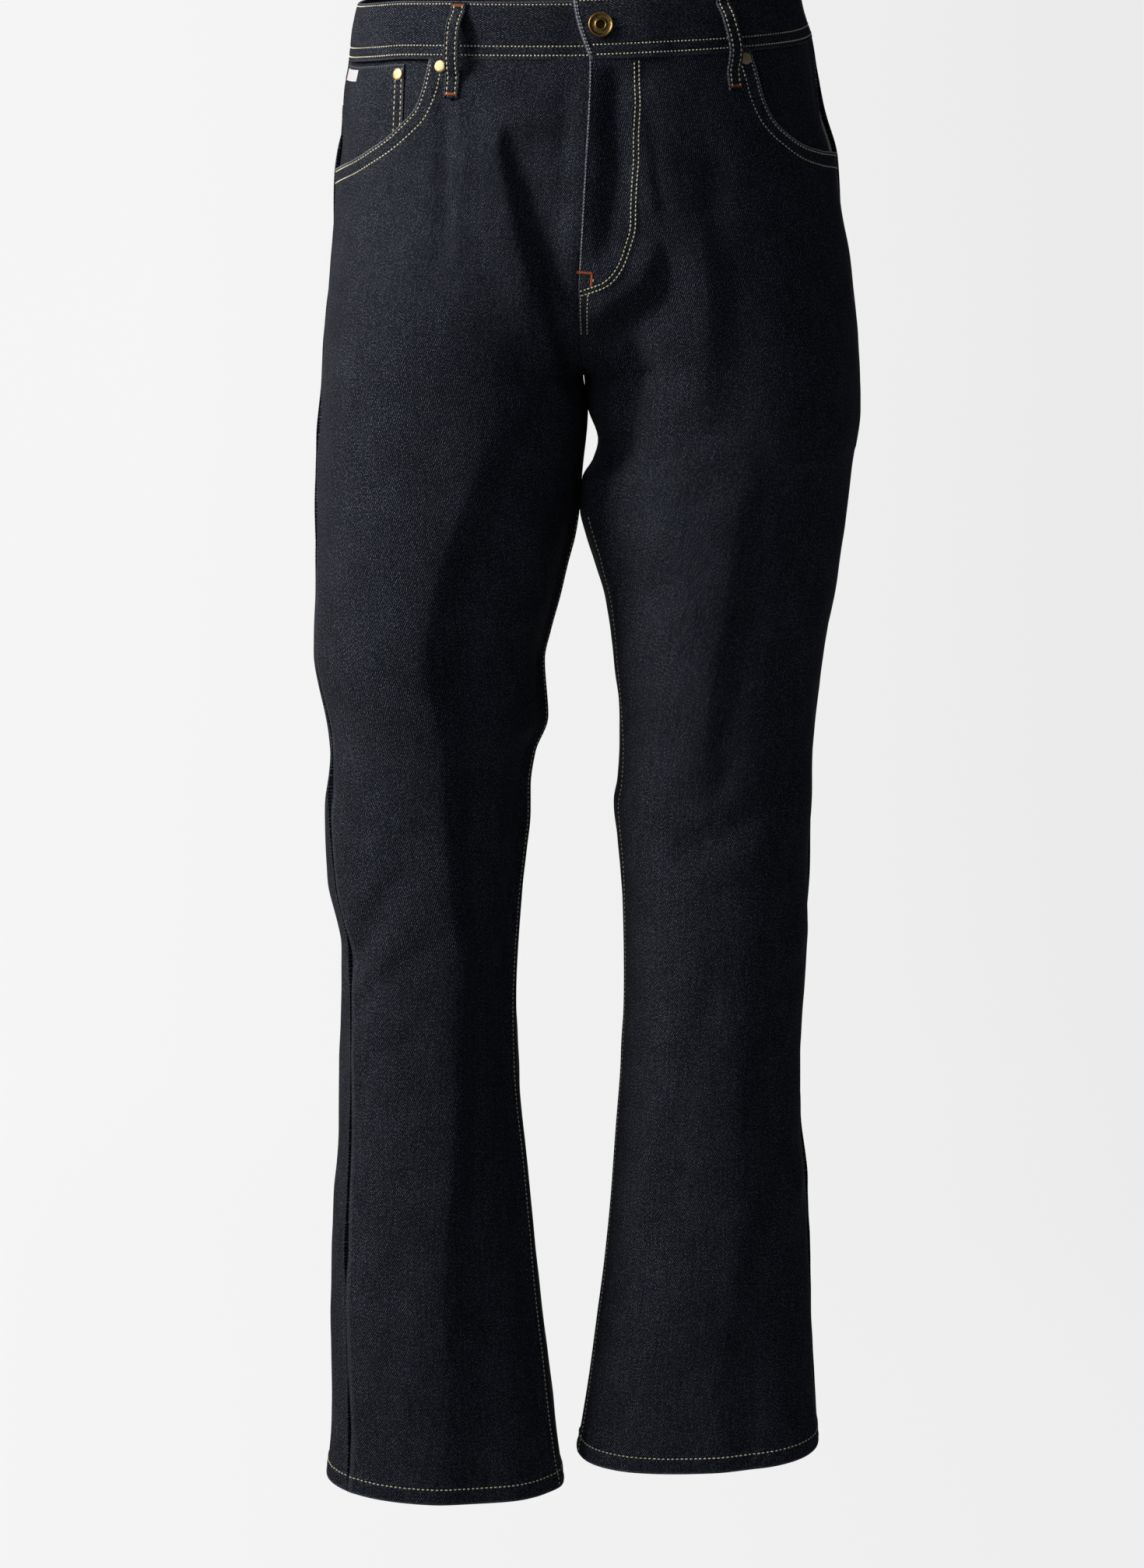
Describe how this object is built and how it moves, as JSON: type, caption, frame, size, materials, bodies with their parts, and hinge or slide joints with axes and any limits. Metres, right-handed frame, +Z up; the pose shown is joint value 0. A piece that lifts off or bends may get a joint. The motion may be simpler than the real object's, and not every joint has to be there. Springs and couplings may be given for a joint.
{
  "type": "straight leg jeans",
  "caption": "Straight leg jeans in dark indigo denim, in worn shape with open waist and legs, pale topstitching, brass waist button, riveted front pockets, coin pocket and belt loops",
  "frame": {"origin": "middle of the waist opening, level with the top of the waistband", "axes": "+Z up along the body, the garment faces -Y, the wearer's left is +X"},
  "size_m": [0.3977, 0.2796, 1.1212],
  "materials": {
    "denim": "matte dark indigo twill",
    "woven_tab": "matte grey woven tape",
    "button_brass": "aged, dark in its hollows",
    "rivet_brass": "pale, brushed"
  },
  "bodies": {
    "root": {"front_right": "denim", "front_left": "denim", "back_right": "denim", "back_left": "denim", "yoke_right": "denim", "yoke_left": "denim", "waistband": "denim", "pocket_facing_right": "denim", "pocket_facing_left": "denim", "coin_pocket": "denim", "coin_pocket_tab": "woven_tab", "fly_shield": "denim", "back_pocket_right": "denim", "back_pocket_left": "denim", "belt_loop_front_right": "denim", "belt_loop_front_left": "denim", "belt_loop_side_right": "denim", "belt_loop_side_left": "denim", "belt_loop_back": "denim", "waist_button": "button_brass", "rivet_pocket_right": "rivet_brass", "rivet_pocket_left": "rivet_brass", "rivet_coin_pocket": "rivet_brass"}
  },
  "joints": []
}
